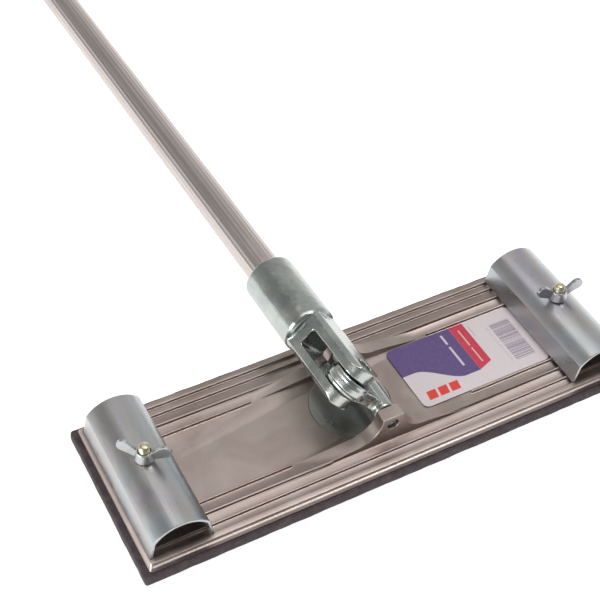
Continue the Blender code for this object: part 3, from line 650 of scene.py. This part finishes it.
def make_wing_nuts(material):
    for side in SIDES:
        node = "wing_nut_" + side
        nut = new_piece(node + "_forged", cad_copy(node), material, "nut_" + side, node)
        add_cast_skin(nut, NUT_GRID, 3)


def threaded_radius(radius, height, angle):
    """The radius of a right-hand thread's surface at a height and angle."""
    phase = (height / THREAD_PITCH - angle / TURN) % 1.0
    return radius - THREAD_DEPTH * abs(2 * phase - 1) ** 0.9


def make_bolts(material):
    """Carriage bolts: a threaded shank with a domed end, and a low head under the plate."""
    for side in SIDES:
        node = "clamp_bolt_" + side
        low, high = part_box(node)
        centre = (low + high) / 2
        head = (high.x - low.x) / 2
        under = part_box("base_plate")[0].z - ASSEMBLY_GAP
        radius, dome, top = BOLT_RADIUS, BOLT_DOME, high.z
        thread_end = top - dome
        profile = [(0, top)]
        angles = (0.35, 0.7, 1.05, 1.35)
        profile += [(radius * 0.86 * math.sin(a), top - dome * (1 - math.cos(a))) for a in angles]
        rings = int((thread_end - under - 2 * ASSEMBLY_GAP) / (THREAD_PITCH / THREAD_RINGS))
        profile += [(radius, thread_end - i * THREAD_PITCH / THREAD_RINGS) for i in range(rings)]
        profile += [(radius * 0.98, under), (head * 0.9, under), (head, under - BOLT_HEAD_EDGE)]
        profile += [(head * 0.93, low.z + BOLT_HEAD_EDGE), (head * 0.75, low.z), (0, low.z)]

        def shaped(radius_here, height, angle, full=radius, start=thread_end, end=under):
            threaded = abs(radius_here - full) < 1e-9 and end < height <= start
            return threaded_radius(radius_here, height, angle) if threaded else radius_here

        place = Matrix.Translation((centre.x, centre.y, 0))
        bolt = new_piece(node + "_threaded", lathe(profile, 40, shaped), material, "head", node, place)


def make_casting(name, node, body, material):
    piece = new_piece(name, cad_copy(node), material, body, node)
    add_cast_skin(piece, CASTING_GRID, 2, CASTING_RIPPLE)


def make_pins(material):
    """The base pin and the clevis pin: plain rods with a chamfer and a small centre dimple at each end."""
    low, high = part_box("base_pin")
    radius = (high.z - low.z) / 2
    reach = (high.y - low.y) / 2
    turn_y = Matrix.Rotation(-math.pi / 2, 4, "X")
    base_place = Matrix.Translation((low + high) / 2) @ turn_y
    clevis = [POLE.inverted() @ vertex.co for vertex in NODES["clevis_pin"].data.vertices]
    clevis_reach = max(point.x for point in clevis)
    clevis_radius = max(math.hypot(point.y, point.z) for point in clevis)
    clevis_place = POLE @ Matrix.Rotation(math.pi / 2, 4, "Y")
    pins = (
        ("base_pin", "head", radius, reach, base_place),
        ("clevis_pin", "pole", clevis_radius, clevis_reach, clevis_place),
    )
    for node, body, size, half, place in pins:
        end = [(0, half - PIN_DIMPLE), (size * 0.28, half), (size - PIN_EDGE, half)]
        end += [(size - PIN_EDGE * 0.3, half - PIN_EDGE * 0.3), (size, half - PIN_EDGE)]
        profile = end + [(r, -z) for r, z in reversed(end)]
        pin = new_piece(node + "_turned", lathe(profile, 48), material, body, node, place)


def make_pole(material):
    """The fluted tube, drawn in the pole's own frame."""
    start, end = along_pole("pole_tube")
    outer = radius_about_pole("pole_tube")
    inner = outer - POLE_WALL
    count = POLE_FLUTES * POINTS_PER_FLUTE
    data = bmesh.new()
    rings = []
    stations = [(outer - TUBE_EDGE, start), (outer, start + TUBE_EDGE), (outer, end - TUBE_EDGE)]
    stations += [(outer - TUBE_EDGE, end), (inner, end), (inner, start)]
    for radius, y in stations:
        ring = []
        for i in range(count):
            angle = TURN * i / count
            flute = 0.5 - 0.5 * math.cos(POLE_FLUTES * angle)
            reach = radius - FLUTE_DEPTH * flute if radius > inner else radius
            ring.append(data.verts.new((reach * math.cos(angle), y, reach * math.sin(angle))))
        rings.append(ring)
    for first, second in zip(rings, rings[1:] + rings[:1]):
        for i in range(count):
            data.faces.new((first[i - 1], first[i], second[i], second[i - 1]))
    pole = new_piece("pole_tube_fluted", data, material, "pole", "pole_tube", POLE_LEVEL)


def make_rivet(material):
    """The blind rivet under the ferrule: a domed head with the broken mandrel's hole in it."""
    inverse = POLE.inverted()
    points = [inverse @ vertex.co for vertex in NODES["socket_rivet"].data.vertices]
    middle_y = (min(p.y for p in points) + max(p.y for p in points)) / 2
    middle_x = (min(p.x for p in points) + max(p.x for p in points)) / 2
    head_radius = (max(p.y for p in points) - min(p.y for p in points)) / 2
    top = -min(p.z for p in points)
    seat = top - RIVET_HEAD
    shank_end = -max(p.z for p in points)
    angles = (0.42, 0.6, 0.8, 1.0, 1.2, 1.4, math.pi / 2)
    dome = [(head_radius * math.sin(a), seat + (top - seat) * math.cos(a)) for a in angles]
    profile = [(0, top - 1.0 * MM), (0.8 * MM, top - 0.95 * MM), (0.9 * MM, top - 0.15 * MM)]
    profile += dome + [(RIVET_SHANK, seat), (RIVET_SHANK, shank_end), (0, shank_end)]
    place = POLE @ Matrix.Translation((middle_x, middle_y, 0)) @ Matrix.Rotation(math.pi, 4, "X")
    rivet = new_piece("socket_rivet_domed", lathe(profile, 40), material, "pole", "socket_rivet", place)


def make_end_cap(material):
    """The pole's end cap: a ribbed skirt, a round edge, a shallow ring in its face and a plug."""
    start, tip = along_pole("pole_end_cap")
    tube_end = along_pole("pole_tube")[1]
    radius = radius_about_pole("pole_end_cap")
    bore = radius_about_pole("pole_tube") + ASSEMBLY_GAP
    plug = bore - ASSEMBLY_GAP - POLE_WALL - ASSEMBLY_GAP
    skirt = tube_end - CAP_SKIRT
    face = tube_end + ASSEMBLY_GAP
    rounding = CAP_ROUNDING
    edge = [
        (radius - rounding * (1 - math.sin(a)), tip - rounding * (1 - math.cos(a)))
        for a in [math.pi / 2 * i / 6 for i in range(7)]
    ]
    groove = tip - 0.35 * MM
    ring = [(0, tip), (3.6 * MM, tip), (3.9 * MM, groove), (4.6 * MM, groove), (4.9 * MM, tip)]
    ribs_from, ribs_to = tip - rounding - 1.0 * MM, skirt + 2.2 * MM
    ribbed = [(radius, ribs_from + (ribs_to - ribs_from) * i / 10) for i in range(11)]
    mouth = [(radius, skirt + 0.5 * MM), (radius - 0.5 * MM, skirt), (bore, skirt), (bore, face)]
    profile = ring + edge + ribbed + mouth
    profile += [(plug, face), (plug, start + PLUG_EDGE), (plug - PLUG_EDGE, start), (0, start)]

    def with_ribs(radius_here, height, angle):
        if radius_here < radius - 1e-6 or not ribs_to <= height <= ribs_from:
            return radius_here
        fade = min(1.0, (ribs_from - height) / CAP_RIB_FADE, (height - ribs_to) / CAP_RIB_FADE)
        return radius_here - CAP_RIB_DEPTH * fade * (0.5 + 0.5 * math.cos(CAP_RIBS * angle))

    place = POLE_LEVEL @ Matrix.Rotation(-math.pi / 2, 4, "X")
    data = lathe(profile, 240, with_ribs)
    cap = new_piece("pole_end_cap_ribbed", data, material, "pole", "pole_end_cap", place)


def set_label(material):
    label = NODES["label_sticker"]
    label.data.materials.clear()
    label.data.materials.append(material)


# ---- studio --------------------------------------------------------------------------------------


def make_floor(material):
    data = bmesh.new()
    bmesh.ops.create_grid(data, x_segments=2, y_segments=2, size=6.0)
    mesh = bpy.data.meshes.new("studio_floor")
    data.to_mesh(mesh)
    data.free()
    floor = bpy.data.objects.new("studio_floor", mesh)
    bpy.context.scene.collection.objects.link(floor)
    mesh.materials.append(material)


def soft_box(name, place, target, size, power, colour=(1.0, 1.0, 1.0)):
    light = bpy.data.lights.new(name, "AREA")
    light.shape = "RECTANGLE"
    light.size, light.size_y = size
    light.energy = power
    light.color = colour
    lamp = bpy.data.objects.new(name, light)
    bpy.context.scene.collection.objects.link(lamp)
    lamp.location = place
    lamp.rotation_euler = (Vector(target) - Vector(place)).to_track_quat("-Z", "Y").to_euler()


def make_lights():
    soft_box("overhead_panel", (0.1, 0.3, 1.6), (0, 0.1, 0), (1.4, 1.0), 6.0)
    soft_box("left_panel", (-1.1, -0.1, 0.35), (0, 0, 0.02), (0.9, 0.4), 6.0, (0.97, 0.99, 1.0))
    soft_box("front_overhead_panel", (0.55, -0.2, 1.5), (0, 0, 0.02), (0.4, 0.35), 5.0)


def make_world():
    """A light tent: bright near the table, greyer overhead, and darker at the left back and in front."""
    world = bpy.data.worlds.new("studio")
    world.use_nodes = True
    tree = world.node_tree
    place = tree.nodes.new("ShaderNodeTexCoord")
    parts = tree.nodes.new("ShaderNodeSeparateXYZ")
    ramp = tree.nodes.new("ShaderNodeValToRGB")
    tree.links.new(place.outputs["Generated"], parts.inputs["Vector"])
    tree.links.new(parts.outputs["Z"], ramp.inputs["Fac"])
    elements = ramp.color_ramp.elements
    while len(elements) < len(TENT):
        elements.new(0.5)
    for element, (position, colour) in zip(elements, TENT):
        element.position = position
        element.color = (*colour, 1.0)

    def shade_toward(direction, start, end, darkest):
        toward = tree.nodes.new("ShaderNodeVectorMath")
        toward.operation = "DOT_PRODUCT"
        tree.links.new(place.outputs["Generated"], toward.inputs[0])
        toward.inputs[1].default_value = direction
        shade = tree.nodes.new("ShaderNodeMapRange")
        shade.interpolation_type = "SMOOTHSTEP"
        tree.links.new(toward.outputs["Value"], shade.inputs["Value"])
        for key, value in (("From Min", start), ("From Max", end), ("To Min", 1.0), ("To Max", darkest)):
            shade.inputs[key].default_value = value
        return shade.outputs["Result"]

    both = tree.nodes.new("ShaderNodeMath")
    both.operation = "MULTIPLY"
    tree.links.new(shade_toward(DARK_SIDE, 0.50, 0.90, 0.60), both.inputs[0])
    tree.links.new(shade_toward(DARK_FRONT, 0.30, 0.85, 0.40), both.inputs[1])
    background = tree.nodes["Background"]
    tree.links.new(ramp.outputs["Color"], background.inputs["Color"])
    tree.links.new(both.outputs[0], background.inputs["Strength"])
    bpy.context.scene.world = world


def make_camera():
    flat = math.cos(CAMERA_ELEVATION)
    level = Vector((math.sin(CAMERA_AZIMUTH), -math.cos(CAMERA_AZIMUTH), 0.0))
    back = level * flat + Vector((0.0, 0.0, math.sin(CAMERA_ELEVATION)))
    camera = bpy.data.cameras.new("camera")
    camera.lens = CAMERA_LENS
    camera.sensor_width = CAMERA_SENSOR
    camera.clip_start = 0.01
    seen = bpy.data.objects.new("camera", camera)
    bpy.context.scene.collection.objects.link(seen)
    turn = (-back).to_track_quat("-Z", "Y").to_matrix().to_4x4() @ Matrix.Rotation(CAMERA_ROLL, 4, "Z")
    seen.matrix_world = Matrix.Translation(CAMERA_TARGET + back * CAMERA_DISTANCE) @ turn
    bpy.context.scene.camera = seen


def build():
    sheet, casting, steel = zinc_sheet(), zinc_casting(), pin_steel()
    make_foam_pad(foam())
    make_base_plate(cast_aluminium())
    make_clamps(sheet)
    make_wing_nuts(sheet)
    make_bolts(passivated_steel())
    make_casting("swivel_block_cast", "swivel_block", "swivel", casting)
    make_casting("pole_socket_cast", "pole_socket", "pole", casting)
    make_pins(steel)
    make_rivet(steel)
    make_pole(pole_aluminium())
    make_end_cap(black_plastic())
    set_label(label_paper())


build()
make_floor(studio_floor())
make_lights()
make_world()
make_camera()
bpy.context.scene.view_settings.view_transform = "Standard"
bpy.context.view_layer.update()
